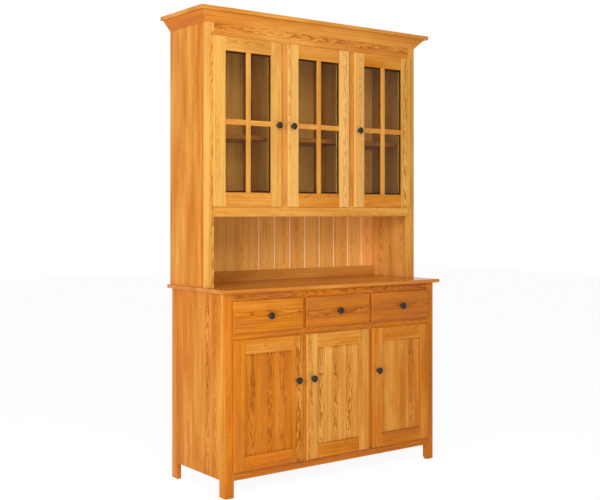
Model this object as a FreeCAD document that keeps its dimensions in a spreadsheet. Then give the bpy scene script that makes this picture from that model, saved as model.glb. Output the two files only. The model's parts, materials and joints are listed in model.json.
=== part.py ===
import FreeCAD, Part
import os
import re
import Sketcher

# A kitchen hutch in solid oak: a base cabinet with three drawers over three doors, and a
# glazed top that stands on the counter with an open niche between them.
# Millimetres. +Z is up, the front faces -Y, and X runs to the right seen from the front.
# The origin is on the floor, under the middle of the whole, knobs included.

doc = FreeCAD.newDocument("hutch")

SIZES = {
    # Boards
    "board": 19,
    "frame_board": 19,
    "base_back_board": 9,
    "bead_board": 10,
    # Base cabinet
    "base_width": 1262,
    "base_depth": 462,
    "foot_height": 75,
    "foot_depth": 51,
    "base_stile": 44,
    "door_post": 38,
    "drawer_post": 32,
    "base_bottom_rail": 42.5,
    "base_middle_rail": 44.5,
    "drawer_height": 126,
    "base_top_rail": 42,
    "base_shelf_share": 0.5,
    "shelf_setback": 45,
    # Counter
    "counter_height": 914,
    "counter_thickness": 18,
    "counter_side_overhang": 27,
    "counter_front_overhang": 22,
    "counter_round": 5,
    # Glazed top
    "hutch_overhang": 10,
    "hutch_depth": 315,
    "hutch_stile": 44,
    "hutch_post": 50,
    "niche_height": 319,
    "hutch_bottom_rail": 52.5,
    "hutch_opening_height": 759,
    "hutch_top_rail": 108.5,
    "hutch_shelf_height": 681,
    "hutch_shelf_setback": 28,
    "niche_rail_height": 50,
    "bead_pitch": 97,
    "bead_groove": 5.6,
    # Crown
    "crown_projection": 38,
    "crown_height": 45.5,
    "cap_thickness": 18,
    "cap_overhang": 15,
    # Lipped doors and drawer fronts
    "lip": 7.5,
    "lip_thickness": 11,
    "lip_gap": 0.3,
    "lip_round": 4,
    "rebate_clearance": 1.5,
    "rebate_depth": 9.5,
    "member": 63,
    "door_rail": 66,
    "panel_recess": 8,
    "panel_thickness": 8,
    "bar_width": 24,
    "bar_thickness": 6,
    "bar_recess": 1,
    "glass_thickness": 3,
    "bead_stop_width": 8,
    # Drawer boxes and their slides
    "box_side": 12,
    "box_bottom": 6,
    "box_bottom_rise": 10,
    "box_height": 100,
    "box_back_gap": 25.5,
    "box_clearance": 9,
    "slide_width": 12.7,
    "slide_height": 45,
    "slide_setback": 3,
    "slide_back_gap": 31,
    "slide_steel": 1.5,
    "channel_depth": 8,
    "runner_height": 20,
    "runner_rib": 8,
    "runner_gap": 1.5,
    # Knobs
    "knob_diameter": 32,
    "knob_projection": 26,
    "knob_neck": 11,
    "knob_head": 13,
    "base_knob_drop": 206,
    "glass_knob_inset": 25,
    "glass_knob_lowering": 4,
    # Hinges
    "cup_diameter": 35,
    "cup_depth": 11,
    "cup_wall": 1.2,
    "cup_clearance": 0.2,
    "cup_margin": 3,
    "ear_height": 12,
    "ear_width": 26,
    "plate_thickness": 1.5,
    "hinge_inset": 95,
    "hinge_plate": 7,
    "hinge_plate_height": 50,
    "hinge_arm_height": 14,
    "hinge_arm_thickness": 6,
    "hinge_tip_width": 8,
    "hinge_tip_reach": 4.5,
    # Cuts
    "overrun": 5,
}

BAYS = 3
SIDES = ("left", "right")
SAME_PLACE = 1e-6
# The first door hangs on its left edge, the other two on their right edges.
HUNG_ON = ("left", "right", "right")

sheet = doc.addObject("Spreadsheet::Sheet", "Sizes")
for row, (word, number) in enumerate(SIZES.items(), start=1):
    sheet.set(f"A{row}", word)
    sheet.set(f"B{row}", str(number))
    sheet.setAlias(f"B{row}", word)
doc.recompute()

nodes = {}


def linked(formula):
    """The formula with the name of each size pointed at its cell."""
    return re.sub(r"[a-z_]+", lambda found: f"Sizes.{found[0]}" if found[0] in SIZES else found[0], formula)


def bind(thing, **formulas):
    """Tie properties of an object to formulas of the sizes."""
    for key, formula in formulas.items():
        thing.setExpression(key, linked(formula))


def place(thing, x, y, z):
    """Tie the position of an object to formulas of the sizes."""
    for axis, formula in zip("xyz", (x, y, z)):
        thing.setExpression(f"Placement.Base.{axis}", linked(formula))


def turn(thing, degrees):
    """Turn an object about the vertical through its own origin."""
    thing.Placement = FreeCAD.Placement(FreeCAD.Vector(), FreeCAD.Rotation(FreeCAD.Vector(0, 0, 1), degrees))


def board(name, x, y, z, width, depth, height):
    """A square-edged board, from its left, front, lower corner."""
    thing = doc.addObject("Part::Box", name)
    bind(thing, Length=width, Width=depth, Height=height)
    place(thing, x, y, z)
    return thing


def barrel(name, x, y, z, radius, length):
    """A round bar that runs back from x, y, z along +Y."""
    thing = doc.addObject("Part::Cylinder", name)
    bind(thing, Radius=radius, Height=length)
    thing.Placement = FreeCAD.Placement(FreeCAD.Vector(), FreeCAD.Rotation(FreeCAD.Vector(1, 0, 0), -90))
    place(thing, x, y, z)
    return thing


def joined(name, pieces):
    """One solid out of several that touch or overlap."""
    thing = doc.addObject("Part::MultiFuse", name)
    thing.Shapes = pieces
    thing.Refine = True
    return thing


def cut(name, base, tool):
    """The base with the tool taken away."""
    thing = doc.addObject("Part::Cut", name)
    thing.Base = base
    thing.Tool = tool
    return thing


def node(name, pieces):
    """One sub-part under its own name: a single piece, or a group of pieces."""
    thing = doc.addObject("Part::Compound", name)
    thing.Links = pieces
    thing.Label = name
    nodes[name] = thing


def sketch_on(body, name, role):
    """An empty sketch on one of the body's own planes."""
    sketch = body.newObject("Sketcher::SketchObject", name)
    plane = next(item for item in body.Origin.OriginFeatures if item.Role == role)
    sketch.AttachmentSupport = [(plane, "")]
    sketch.MapMode = "FlatFace"
    return sketch


def tie_point(sketch, line, end, across, up):
    """Hold one end of a line at its formulas from the sketch's origin, 0 being on the axis."""
    for kind, axis, formula in (("DistanceX", -2, across), ("DistanceY", -1, up)):
        if formula == "0":
            sketch.addConstraint(Sketcher.Constraint("PointOnObject", line, end, axis))
        else:
            number = sketch.addConstraint(Sketcher.Constraint(kind, -1, 1, line, end, SIZES["board"]))
            sketch.setExpression(f"Constraints[{number}]", linked(formula))


def outline(sketch, points):
    """A closed outline of straight lines through points given as pairs of formulas."""
    count = len(points)
    guess = [FreeCAD.Vector(*(sheet_value(formula) for formula in point), 0) for point in points]
    for index in range(count):
        sketch.addGeometry(Part.LineSegment(guess[index], guess[(index + 1) % count]), False)
    for index in range(count):
        sketch.addConstraint(Sketcher.Constraint("Coincident", index, 2, (index + 1) % count, 1))
    for index, (across, up) in enumerate(points):
        tie_point(sketch, index, 1, across, up)


def sheet_value(formula):
    """The number that a formula of the sizes gives."""
    probe = doc.addObject("App::FeaturePython", "probe")
    probe.addProperty("App::PropertyFloat", "Number")
    probe.setExpression("Number", linked(formula))
    probe.recompute()
    number = probe.Number
    doc.removeObject(probe.Name)
    return number


def slab(name, role, width, height, thickness, rounded, radius):
    """A board padded off one of its planes, with the edges chosen by the function rounded."""
    body = doc.addObject("PartDesign::Body", name)
    face = sketch_on(body, name + "_face", role)
    outline(face, [("0", "0"), (width, "0"), (width, height), ("0", height)])
    pad = body.newObject("PartDesign::Pad", name + "_pad")
    pad.Profile = face
    bind(pad, Length=thickness)
    doc.recompute()
    box = pad.Shape.BoundBox
    edges = [f"Edge{index}" for index, edge in enumerate(pad.Shape.Edges, start=1)
             if rounded(edge.CenterOfMass, box)]
    fillet = body.newObject("PartDesign::Fillet", name + "_round")
    fillet.Base = (pad, edges)
    bind(fillet, Radius=radius)
    return body


def near(first, second):
    """Whether two places on a board are the same."""
    return abs(first - second) < SAME_PLACE


def lip_edges(sides):
    """A test for the front edges of a lipped board on the named sides."""
    def chosen(middle, box):
        on_side = {
            "left": near(middle.x, box.XMin),
            "right": near(middle.x, box.XMax),
            "bottom": near(middle.z, box.ZMin),
            "top": near(middle.z, box.ZMax),
        }
        return near(middle.y, box.YMin) and any(on_side[side] for side in sides)
    return chosen


def lipped(name, x, face, z, width, height, sides):
    """A board of a lipped front: its lip laps the frame on the named sides.

    The lip stands on the face plane and has rounded front edges; behind it the board
    goes into the opening, held back from the lip's edge by the rebate.
    """
    rebate = "(lip + rebate_clearance)"
    front = slab(name + "_lip", "XZ_Plane", width, height, "lip_thickness", lip_edges(sides), "lip_round")
    place(front, x, f"{face} - lip_gap", z)
    order = ("left", "right", "bottom", "top")
    left, right, bottom, top = (rebate if side in sides else "0" for side in order)
    inner = board(
        name + "_inner", f"{x} + {left}", f"{face} - lip_gap", f"{z} + {bottom}",
        f"{width} - {left} - {right}", "lip_gap + rebate_depth", f"{height} - {bottom} - {top}",
    )
    return joined(name, [front, inner])


def knob(name, x, face, z):
    """A turned knob standing on a door or drawer front: a neck and a wider head."""
    body = doc.addObject("PartDesign::Body", name + "_body")
    half = sketch_on(body, name + "_half", "XY_Plane")
    outline(half, [
        ("0", "0"),
        ("knob_neck / 2", "0"),
        ("knob_neck / 2", "knob_projection - knob_head"),
        ("knob_diameter / 2", "knob_projection - knob_head"),
        ("knob_diameter / 2", "knob_projection"),
        ("0", "knob_projection"),
    ])
    revolution = body.newObject("PartDesign::Revolution", name + "_turned")
    revolution.Profile = half
    revolution.ReferenceAxis = (half, ["V_Axis"])
    turn(body, 180)
    place(body, x, f"{face} - lip_gap - lip_thickness", z)
    node(name, [body])


def hinge_heights(bottom, height):
    """The two heights at which a door is hinged."""
    return (f"{bottom} + hinge_inset", f"{bottom} + {height} - hinge_inset")


def cup_centre(left, width, hung):
    """The place across the door of its hinge cups."""
    inset = "(lip + rebate_clearance + cup_margin + cup_diameter / 2)"
    return f"{left} + {inset}" if hung == "left" else f"{left} + {width} - {inset}"


def hinge_cups(name, centre, face, heights):
    """Two concealed hinge cups, sunk into the back of the door's hinge stile."""
    cups = []
    for index, height in enumerate(heights):
        label = f"{name}_{index}"
        back = f"{face} + rebate_depth"
        shell = barrel(
            label + "_shell", centre, f"{back} - cup_depth", height,
            "cup_diameter / 2 - cup_clearance", "cup_depth",
        )
        hollow = barrel(
            label + "_hollow", centre, f"{back} - cup_depth + cup_wall", height,
            "cup_diameter / 2 - cup_clearance - cup_wall", "cup_depth + overrun",
        )
        cups.append(cut(label, shell, hollow))
        for end, low in {"low": "- cup_diameter / 2 - ear_height", "high": "+ cup_diameter / 2"}.items():
            cups.append(board(
                f"{label}_ear_{end}", f"{centre} - ear_width / 2", back, f"{height} {low}", "ear_width",
                "plate_thickness", "ear_height",
            ))
    node(name, cups)


def hinge_arms(label, centre, edge, face, heights, hung):
    """The fixed halves of a door's hinges: a plate behind the frame, an arm and its tip."""
    pieces = []
    behind = f"{face} + frame_board"
    reach = f"({centre} + hinge_tip_width / 2) - ({edge} - hinge_plate)"
    plate_left = f"{edge} - hinge_plate"
    tip_left = f"{centre} - hinge_tip_width / 2"
    if hung == "right":
        reach = f"({edge} + hinge_plate) - ({centre} - hinge_tip_width / 2)"
        plate_left = edge
    for index, height in enumerate(heights):
        name = f"{label}_{index}"
        arm_left = f"{edge} - hinge_plate" if hung == "left" else tip_left
        plate = board(
            name + "_plate", plate_left, behind, f"{height} - hinge_plate_height / 2",
            "hinge_plate", "plate_thickness", "hinge_plate_height",
        )
        arm = board(
            name + "_arm", arm_left, f"{behind} + plate_thickness", f"{height} - hinge_arm_height / 2",
            reach, "hinge_arm_thickness", "hinge_arm_height",
        )
        tip = board(
            name + "_tip", tip_left, f"{face} + hinge_tip_reach", f"{height} - hinge_arm_height / 2",
            "hinge_tip_width", "frame_board + plate_thickness - hinge_tip_reach", "hinge_arm_height",
        )
        pieces.append(joined(name, [plate, arm, tip]))
    return pieces


def door_frame(name, left, face, bottom, width, height, hung):
    """Two stiles and two rails, with the hinge stile bored for the cups."""
    members = {
        "left": lipped(
            name + "_stile_left", left, face, bottom, "member", height, ("left", "bottom", "top"),
        ),
        "right": lipped(
            name + "_stile_right", f"{left} + {width} - member", face, bottom, "member", height,
            ("right", "bottom", "top"),
        ),
        "bottom": lipped(
            name + "_rail_bottom", f"{left} + member", face, bottom, f"{width} - 2 * member", "door_rail",
            ("bottom",),
        ),
        "top": lipped(
            name + "_rail_top", f"{left} + member", face, f"{bottom} + {height} - door_rail",
            f"{width} - 2 * member", "door_rail", ("top",),
        ),
    }
    centre = cup_centre(left, width, hung)
    bores = [
        barrel(
            f"{name}_bore_{index}", centre, f"{face} + rebate_depth - cup_depth - cup_clearance", place_up,
            "cup_diameter / 2", "cup_depth + cup_clearance + overrun",
        )
        for index, place_up in enumerate(hinge_heights(bottom, height))
    ]
    members[hung] = cut(name + "_bored_stile", members[hung], joined(name + "_bores", bores))
    node(name, list(members.values()))


# Named places. The face planes are the fronts of the two face frames.
hutch_width = "(base_width + 2 * hutch_overhang)"
half_base = "(base_width / 2)"
half_hutch = f"({hutch_width} / 2)"
back = "((base_depth + lip_gap + lip_thickness + knob_projection) / 2)"
base_face = f"({back} - base_depth)"
hutch_face = f"({back} - hutch_depth)"
base_top = "(counter_height - counter_thickness)"
drawer_head = f"({base_top} - base_top_rail)"
drawer_sill = f"({drawer_head} - drawer_height)"
door_head = f"({drawer_sill} - base_middle_rail)"
door_sill = "(foot_height + base_bottom_rail)"
door_opening_height = f"({door_head} - {door_sill})"
hutch_sill = "(counter_height + niche_height + hutch_bottom_rail)"
hutch_head = f"({hutch_sill} + hutch_opening_height)"
hutch_top = f"({hutch_head} + hutch_top_rail)"
door_bay = "((base_width - 2 * base_stile - 2 * door_post) / 3)"
drawer_bay = "((base_width - 2 * base_stile - 2 * drawer_post) / 3)"
hutch_bay = f"(({hutch_width} - 2 * hutch_stile - 2 * hutch_post) / 3)"


def bay_left(index, half, stile, bay, post):
    """The left edge of an opening in a face frame."""
    return f"(-{half} + {stile} + {index} * ({bay} + {post}))"


def partition_left(index):
    """The left face of a partition, behind the middle of a post between drawers."""
    bays = f"({index} + 1) * {drawer_bay} + ({index} + 0.5) * drawer_post"
    return f"(-{half_base} + base_stile + {bays} - board / 2)"


def wall_right_of(index):
    """The inner face at the left of a bay of the base."""
    return f"(-{half_base} + board)" if index == 0 else f"({partition_left(index - 1)} + board)"


def wall_left_of(index):
    """The inner face at the right of a bay of the base."""
    return f"({half_base} - board)" if index == BAYS - 1 else partition_left(index)


# Base cabinet: sides that end in feet, face frame, boards inside and the closed back.
inner_front = f"({base_face} + frame_board)"
base_inner_depth = "(base_depth - frame_board - base_back_board)"
for side, place_left in zip(SIDES, (f"-{half_base}", f"{half_base} - board")):
    panel = board(
        f"base_side_{side}_board", place_left, inner_front, "0", "board", "base_depth - frame_board",
        base_top,
    )
    arch = board(
        f"base_side_{side}_arch", f"{place_left} - overrun", f"{base_face} + foot_depth", "-overrun",
        "board + 2 * overrun", "base_depth - 2 * foot_depth", "foot_height + overrun",
    )
    node(f"base_side_{side}", [cut(f"base_side_{side}_cut", panel, arch)])

stiles = [
    board(f"base_stile_{side}", place_left, base_face, "0", "base_stile", "frame_board", base_top)
    for side, place_left in zip(SIDES, (f"-{half_base}", f"{half_base} - base_stile"))
]
for index in range(BAYS - 1):
    post_left = f"{bay_left(index + 1, half_base, 'base_stile', door_bay, 'door_post')} - door_post"
    stiles.append(board(
        f"base_door_post_{index}", post_left, base_face, door_sill, "door_post", "frame_board",
        door_opening_height,
    ))
    post_left = f"{bay_left(index + 1, half_base, 'base_stile', drawer_bay, 'drawer_post')} - drawer_post"
    stiles.append(board(
        f"base_drawer_post_{index}", post_left, base_face, drawer_sill, "drawer_post", "frame_board",
        "drawer_height",
    ))
node("base_stiles", stiles)

rail_places = {
    "bottom": ("foot_height", "base_bottom_rail"),
    "middle": (door_head, "base_middle_rail"),
    "top": (drawer_head, "base_top_rail"),
}
node("base_rails", [
    board(
        f"base_rail_{which}", f"-{half_base} + base_stile", base_face, low, "base_width - 2 * base_stile",
        "frame_board", tall,
    )
    for which, (low, tall) in rail_places.items()
])

base_inner_width = "(base_width - 2 * board)"
deck = board(
    "base_deck_board", f"-{half_base} + board", inner_front, f"{door_sill} - board", base_inner_width,
    base_inner_depth, "board",
)
node("base_back", [board(
    "base_back_panel", f"-{half_base} + board", f"{back} - base_back_board", "foot_height", base_inner_width,
    "base_back_board", f"{base_top} - foot_height",
)])
node("base_partitions", [
    board(
        f"base_partition_{index}", partition_left(index), inner_front, door_sill, "board", base_inner_depth,
        f"{base_top} - {door_sill}",
    )
    for index in range(BAYS - 1)
])
shelves = [
    board(
        f"base_shelf_{index}", wall_right_of(index), f"{inner_front} + shelf_setback",
        f"{door_sill} + {door_opening_height} * base_shelf_share",
        f"{wall_left_of(index)} - {wall_right_of(index)}", f"{base_inner_depth} - shelf_setback", "board",
    )
    for index in range(BAYS)
]
node("base_shelves", [deck] + shelves)


def counter_edges(middle, box):
    """The upper and lower edges of the counter, but for those on its back."""
    level = near(middle.z, box.ZMin) or near(middle.z, box.ZMax)
    return level and not near(middle.y, box.YMax)


counter = slab(
    "counter_board", "XY_Plane", "base_width + 2 * counter_side_overhang",
    "base_depth + counter_front_overhang", "counter_thickness", counter_edges, "counter_round",
)
place(counter, f"-{half_base} - counter_side_overhang", f"{base_face} - counter_front_overhang", base_top)
node("counter_top", [counter])

# Glazed top: sides and face frame down to the counter, beaded back, boards inside.
hutch_inner_width = f"({hutch_width} - 2 * board)"
hutch_inner_depth = "(hutch_depth - frame_board - bead_board)"
hutch_inner_front = f"({hutch_face} + frame_board)"
hutch_height = f"({hutch_top} - counter_height)"
for side, place_left in zip(SIDES, (f"-{half_hutch}", f"{half_hutch} - board")):
    node(f"hutch_side_{side}", [board(
        f"hutch_side_{side}_board", place_left, hutch_inner_front, "counter_height", "board",
        "hutch_depth - frame_board", hutch_height,
    )])

uprights = [
    board(
        f"hutch_stile_{side}", place_left, hutch_face, "counter_height", "hutch_stile", "frame_board",
        hutch_height,
    )
    for side, place_left in zip(SIDES, (f"-{half_hutch}", f"{half_hutch} - hutch_stile"))
]
for index in range(BAYS - 1):
    post_left = f"{bay_left(index + 1, half_hutch, 'hutch_stile', hutch_bay, 'hutch_post')} - hutch_post"
    uprights.append(board(
        f"hutch_post_{index}", post_left, hutch_face, hutch_sill, "hutch_post", "frame_board",
        "hutch_opening_height",
    ))
node("hutch_stiles", uprights)

rail_places = {
    "bottom": (f"{hutch_sill} - hutch_bottom_rail", "hutch_bottom_rail"),
    "top": (hutch_head, "hutch_top_rail"),
}
node("hutch_rails", [
    board(
        f"hutch_rail_{which}", f"-{half_hutch} + hutch_stile", hutch_face, low,
        f"{hutch_width} - 2 * hutch_stile", "frame_board", tall,
    )
    for which, (low, tall) in rail_places.items()
])
node("hutch_decks", [
    board(
        f"hutch_deck_{which}", f"-{half_hutch} + board", hutch_inner_front, low, hutch_inner_width,
        hutch_inner_depth, "board",
    )
    for which, low in {"bottom": f"{hutch_sill} - board", "top": hutch_head}.items()
])
node("hutch_shelf", [board(
    "hutch_shelf_board", f"-{half_hutch} + board", f"{hutch_inner_front} + hutch_shelf_setback",
    "counter_height + hutch_shelf_height", hutch_inner_width,
    f"{hutch_inner_depth} - hutch_shelf_setback", "board",
)])

back_front = f"({back} - bead_board)"
back_plate = board(
    "hutch_back_plate", f"-{half_hutch} + board", back_front, "counter_height", hutch_inner_width,
    "bead_board", hutch_height,
)
groove_count = int(sheet_value(hutch_inner_width) // sheet_value("bead_pitch"))
grooves = []
for index in range(groove_count):
    # A square bar on its corner leaves a V where it crosses the face of the back.
    groove = board(
        f"hutch_groove_{index}", "0", "0", "0", "bead_groove", "bead_groove",
        f"{hutch_height} + 2 * overrun",
    )
    turn(groove, 45)
    place(
        groove, f"-{half_hutch} + board + ({index} + 1) * bead_pitch",
        f"{back_front} - bead_groove / sqrt(2)", "counter_height - overrun",
    )
    grooves.append(groove)
node("hutch_back", [cut("hutch_back_beaded", back_plate, joined("hutch_grooves", grooves))])
node("niche_rail", [board(
    "niche_rail_board", f"-{half_hutch} + board", f"{back_front} - board", "counter_height",
    hutch_inner_width, "board", "niche_rail_height",
)])

# Crown: three mitred mouldings that slope out under a flat cap.
crown_foot = f"({hutch_top} - crown_height)"


def crown_run(name, degrees, low_end, high_end, mitres, x, y):
    """A moulding of the crown, sloping out along its own Y, mitred where told at each end."""
    thing = doc.addObject("Part::Wedge", name)
    start, end = mitres
    bind(
        thing, Xmin=low_end, Xmax=high_end, X2min=f"{low_end} - {start} * crown_projection",
        X2max=f"{high_end} + {end} * crown_projection", Ymin="0", Ymax="crown_projection",
        Zmin="0", Zmax="crown_height", Z2min="crown_height", Z2max="crown_height",
    )
    turn(thing, degrees)
    place(thing, x, y, crown_foot)
    return thing


node("crown_moulding", [
    crown_run("crown_front", 180, f"-{half_hutch}", half_hutch, (1, 1), "0", hutch_face),
    crown_run("crown_left", 90, "0", "hutch_depth", (1, 0), f"-{half_hutch}", hutch_face),
    crown_run("crown_right", -90, "-hutch_depth", "0", (0, 1), half_hutch, hutch_face),
])
cap_reach = "(crown_projection + cap_overhang)"
node("crown_cap", [board(
    "crown_cap_board", f"-{half_hutch} - {cap_reach}", f"{hutch_face} - {cap_reach}", hutch_top,
    f"{hutch_width} + 2 * {cap_reach}", f"hutch_depth + {cap_reach}", "cap_thickness",
)])

# Doors of the base: frame and flat panel, one knob each, hung on concealed hinges.
arms = []
for index, hung in enumerate(HUNG_ON):
    opening = bay_left(index, half_base, "base_stile", door_bay, "door_post")
    name = f"base_door_{index + 1}"
    left = f"({opening} - lip)"
    width = f"({door_bay} + 2 * lip)"
    bottom = f"({door_sill} - lip)"
    height = f"({door_opening_height} + 2 * lip)"
    door_frame(name + "_frame", left, base_face, bottom, width, height, hung)
    node(name + "_panel", [board(
        name + "_panel_board", f"{left} + member", f"{base_face} - lip_gap - lip_thickness + panel_recess",
        f"{bottom} + door_rail", f"{width} - 2 * member", "panel_thickness", f"{height} - 2 * door_rail",
    )])
    knob_place = f"{left} + {width} - member / 2" if hung == "left" else f"{left} + member / 2"
    knob(name + "_knob", knob_place, base_face, f"{bottom} + {height} - base_knob_drop")
    heights = hinge_heights(bottom, height)
    centre = cup_centre(left, width, hung)
    hinge_cups(name + "_cups", centre, base_face, heights)
    edge = opening if hung == "left" else f"({opening} + {door_bay})"
    arms += hinge_arms(name + "_arm", centre, edge, base_face, heights, hung)

# Doors of the top: frame, glazing bars over one pane, stops behind it, one knob each.
for index, hung in enumerate(HUNG_ON):
    opening = bay_left(index, half_hutch, "hutch_stile", hutch_bay, "hutch_post")
    name = f"glass_door_{index + 1}"
    left = f"({opening} - lip)"
    width = f"({hutch_bay} + 2 * lip)"
    bottom = f"({hutch_sill} - lip)"
    height = "(hutch_opening_height + 2 * lip)"
    door_frame(name + "_frame", left, hutch_face, bottom, width, height, hung)
    light_left = f"({left} + member)"
    light_width = f"({width} - 2 * member)"
    light_bottom = f"({bottom} + door_rail)"
    light_height = f"({height} - 2 * door_rail)"
    bar_front = f"({hutch_face} - lip_gap - lip_thickness + bar_recess)"
    glass_front = f"({bar_front} + bar_thickness)"
    half_light = f"(({light_width} - bar_width) / 2)"
    bars = [board(
        name + "_bar_upright", f"{light_left} + {half_light}", bar_front, light_bottom, "bar_width",
        "bar_thickness", light_height,
    )]
    for side, start in zip(SIDES, (light_left, f"{light_left} + {half_light} + bar_width")):
        bars.append(board(
            f"{name}_bar_{side}", start, bar_front, f"{light_bottom} + ({light_height} - bar_width) / 2",
            half_light, "bar_thickness", "bar_width",
        ))
    stop_front = f"({glass_front} + glass_thickness)"
    stop_depth = f"({hutch_face} + rebate_depth - {stop_front})"
    for side, start in zip(SIDES, (light_left, f"{light_left} + {light_width} - bead_stop_width")):
        bars.append(board(
            f"{name}_stop_{side}", start, stop_front, light_bottom, "bead_stop_width", stop_depth,
            light_height,
        ))
    light_top = f"{light_bottom} + {light_height} - bead_stop_width"
    for which, low in {"bottom": light_bottom, "top": light_top}.items():
        bars.append(board(
            f"{name}_stop_{which}", f"{light_left} + bead_stop_width", stop_front, low,
            f"{light_width} - 2 * bead_stop_width", stop_depth, "bead_stop_width",
        ))
    node(name + "_bars", bars)
    node(name + "_glass", [board(
        name + "_pane", light_left, glass_front, light_bottom, light_width, "glass_thickness", light_height,
    )])
    knob_place = f"{left} + {width} - glass_knob_inset" if hung == "left" else f"{left} + glass_knob_inset"
    knob(name + "_knob", knob_place, hutch_face, f"{bottom} + {height} / 2 - glass_knob_lowering")
    heights = hinge_heights(bottom, height)
    centre = cup_centre(left, width, hung)
    hinge_cups(name + "_cups", centre, hutch_face, heights)
    edge = opening if hung == "left" else f"({opening} + {hutch_bay})"
    arms += hinge_arms(name + "_arm", centre, edge, hutch_face, heights, hung)
node("hinge_arms", arms)

# Drawers: lipped slab front, open box, steel runners that slide in channels on packers.
box_length = "(base_depth - rebate_depth - base_back_board - box_back_gap)"
slide_length = f"({base_inner_depth} - slide_setback - slide_back_gap)"
channels = []
packers = []
for index in range(BAYS):
    opening = bay_left(index, half_base, "base_stile", drawer_bay, "drawer_post")
    opening_end = f"({opening} + {drawer_bay})"
    name = f"drawer_{index + 1}"
    front_board = lipped(
        name + "_front_board", f"({opening} - lip)", base_face, f"({drawer_sill} - lip)",
        f"({drawer_bay} + 2 * lip)", "(drawer_height + 2 * lip)",
        ("left", "right", "bottom", "top"),
    )
    node(name + "_front", [front_board])
    box_left = f"({opening} + slide_width)"
    box_width = f"({drawer_bay} - 2 * slide_width)"
    box_front = f"({base_face} + rebate_depth)"
    box_sill = f"({drawer_sill} + box_clearance)"
    inside_left = f"({box_left} + box_side)"
    inside_width = f"({box_width} - 2 * box_side)"
    node(name + "_box", [
        board(f"{name}_box_left", box_left, box_front, box_sill, "box_side", box_length, "box_height"),
        board(
            f"{name}_box_right", f"{box_left} + {box_width} - box_side", box_front, box_sill, "box_side",
            box_length, "box_height",
        ),
        board(
            f"{name}_box_back", inside_left, f"{box_front} + {box_length} - box_side", box_sill, inside_width,
            "box_side", "box_height",
        ),
        board(
            f"{name}_box_bottom", inside_left, box_front, f"{box_sill} + box_bottom_rise", inside_width,
            f"{box_length} - box_side", "box_bottom",
        ),
    ])
    knob(name + "_knob", f"{opening} + {drawer_bay} / 2", base_face, f"({drawer_sill} + {drawer_head}) / 2")
    slide_middle = f"({box_sill} + box_height / 2)"
    slide_front = f"({inner_front} + slide_setback)"
    runner = []
    for side in SIDES:
        on_left = side == "left"
        label = f"{name}_{side}"
        mount = opening if on_left else opening_end
        web = mount if on_left else f"{mount} - slide_steel"
        flange = f"{mount} + slide_steel" if on_left else f"{mount} - channel_depth"
        channel = [board(
            label + "_web", web, slide_front, f"{slide_middle} - slide_height / 2", "slide_steel",
            slide_length, "slide_height",
        )]
        for which, low in {"low": "- slide_height / 2", "high": "+ slide_height / 2 - slide_steel"}.items():
            channel.append(board(
                f"{label}_flange_{which}", flange, slide_front, f"{slide_middle} {low}",
                "channel_depth - slide_steel", slide_length, "slide_steel",
            ))
        channels.append(joined(label + "_channel", channel))
        wall = wall_right_of(index) if on_left else wall_left_of(index)
        packers.append(board(
            label + "_packer", wall if on_left else mount, inner_front, f"{slide_middle} - slide_height / 2",
            f"{mount} - {wall}" if on_left else f"{wall} - {mount}", f"{slide_length} + 2 * slide_setback",
            "slide_height",
        ))
        plate = f"{box_left} - slide_steel" if on_left else f"{box_left} + {box_width}"
        rib_length = "(slide_width - slide_steel - slide_steel - runner_gap)"
        rib = f"{mount} + slide_steel + runner_gap" if on_left else f"{plate} + slide_steel"
        runner.append(joined(label + "_runner", [
            board(
                label + "_plate", plate, slide_front, f"{slide_middle} - runner_height / 2", "slide_steel",
                slide_length, "runner_height",
            ),
            board(
                label + "_rib", rib, slide_front, f"{slide_middle} - runner_rib / 2", rib_length,
                slide_length, "runner_rib",
            ),
        ]))
    node(name + "_runners", runner)
node("slide_channels", channels)
node("drawer_packers", packers)

# Everything has to have been built before any file is written.
doc.recompute()
for thing in doc.Objects:
    if "Invalid" in thing.State or "Error" in thing.State:
        raise RuntimeError(f"{thing.Label} did not build: {thing.State}")
for name, thing in nodes.items():
    if thing.Shape.isNull() or not thing.Shape.isValid():
        raise RuntimeError(f"{name} has no sound shape")

os.makedirs("parts", exist_ok=True)
for name, thing in nodes.items():
    thing.Shape.exportStep(f"parts/{name}.step")
    box = thing.Shape.BoundBox
    print(f"{name}: {len(thing.Shape.Solids)} solids, {thing.Shape.Volume / 1000:.1f} cm3,",
          f"x {box.XMin:.1f} {box.XMax:.1f}, y {box.YMin:.1f} {box.YMax:.1f},",
          f"z {box.ZMin:.1f} {box.ZMax:.1f}")
print(len(nodes), "nodes")
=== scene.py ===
import json
import math
import random

import bmesh
import bpy
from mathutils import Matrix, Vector


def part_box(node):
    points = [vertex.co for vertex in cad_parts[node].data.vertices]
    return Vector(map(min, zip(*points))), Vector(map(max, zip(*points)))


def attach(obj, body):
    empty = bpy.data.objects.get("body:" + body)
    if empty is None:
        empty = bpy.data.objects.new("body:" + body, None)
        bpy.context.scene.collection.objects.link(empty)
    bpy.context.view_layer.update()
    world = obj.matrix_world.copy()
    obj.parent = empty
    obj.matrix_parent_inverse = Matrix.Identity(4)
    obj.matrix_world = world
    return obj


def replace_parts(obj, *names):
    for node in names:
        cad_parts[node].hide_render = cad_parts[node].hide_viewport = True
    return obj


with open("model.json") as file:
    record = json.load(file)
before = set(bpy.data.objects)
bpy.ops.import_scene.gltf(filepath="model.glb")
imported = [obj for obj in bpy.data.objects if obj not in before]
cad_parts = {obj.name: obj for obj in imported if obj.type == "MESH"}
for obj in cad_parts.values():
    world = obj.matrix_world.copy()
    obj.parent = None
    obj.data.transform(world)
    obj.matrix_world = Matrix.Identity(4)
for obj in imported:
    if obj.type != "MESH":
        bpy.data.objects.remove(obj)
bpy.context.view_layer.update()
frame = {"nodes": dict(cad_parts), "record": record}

MM = 0.001
WORK = bpy.context.scene.collection
SEED = 7
chance = random.Random(SEED)

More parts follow.
